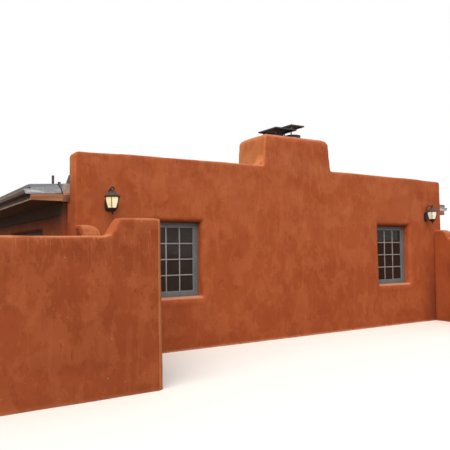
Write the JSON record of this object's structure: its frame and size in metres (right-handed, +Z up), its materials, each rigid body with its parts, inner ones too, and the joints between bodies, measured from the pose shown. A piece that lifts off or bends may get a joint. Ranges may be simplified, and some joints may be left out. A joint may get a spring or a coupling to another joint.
{
  "type": "adobe house",
  "caption": "Single-storey adobe house end with parapet, battered chimney, recessed windows, wall lanterns, low eaved roof and horned garden walls",
  "frame": {"origin": "on the ground, under the middle of the house plan (the middle of the floor's underside)", "axes": "+Z up; the pictured end wall with the chimney faces -Y; +X runs to the right along that wall"},
  "size_m": [14.817, 11.6779, 3.952],
  "materials": {
    "adobe": "matte mud plaster",
    "concrete": "smooth",
    "roofing": "matte mineral felt",
    "timber": "stained",
    "stained_board": "stained",
    "flashing": "weathered",
    "gutter_paint": "satin",
    "window_paint": "satin paint",
    "window_glass": "clear",
    "dark_steel": "matte",
    "bright_steel": "brushed",
    "lantern_metal": "satin",
    "lantern_glass": "frosted"
  },
  "bodies": {
    "root": {"front_wall": "adobe", "back_wall": "adobe", "left_wall": "adobe", "right_wall": "adobe", "chimney": "adobe", "flue_collars": "dark_steel", "rain_cap_left": "dark_steel", "rain_cap_right": "dark_steel", "cap_legs": "bright_steel", "floor": "concrete", "roof_left": "roofing", "roof_right": "roofing", "ridge_beam": "timber", "roof_beams": "timber", "wall_plates": "timber", "soffits": "timber", "eave_boards": "stained_board", "rake_boards": "stained_board", "rake_flashings": "flashing", "drip_edges": "flashing", "gutters": "gutter_paint", "downpipes": "gutter_paint", "front_window_frames": "window_paint", "front_window_sashes": "window_paint", "front_window_glass": "window_glass", "back_window_frames": "window_paint", "back_window_sashes": "window_paint", "back_window_glass": "window_glass", "side_window_frames": "window_paint", "side_window_sashes": "window_paint", "side_window_glass": "window_glass", "door_frame": "window_paint", "door_leaves": "window_paint", "door_sidelights": "window_paint", "door_glass": "window_glass", "door_handles": "dark_steel", "lantern_left": "lantern_metal", "lantern_left_glass": "lantern_glass", "lantern_right": "lantern_metal", "lantern_right_glass": "lantern_glass", "vent_pipes": "dark_steel", "garden_wall_left_return": "adobe", "garden_wall_left_front": "adobe", "garden_wall_right_return": "adobe", "garden_wall_right_front": "adobe"}
  },
  "joints": []
}
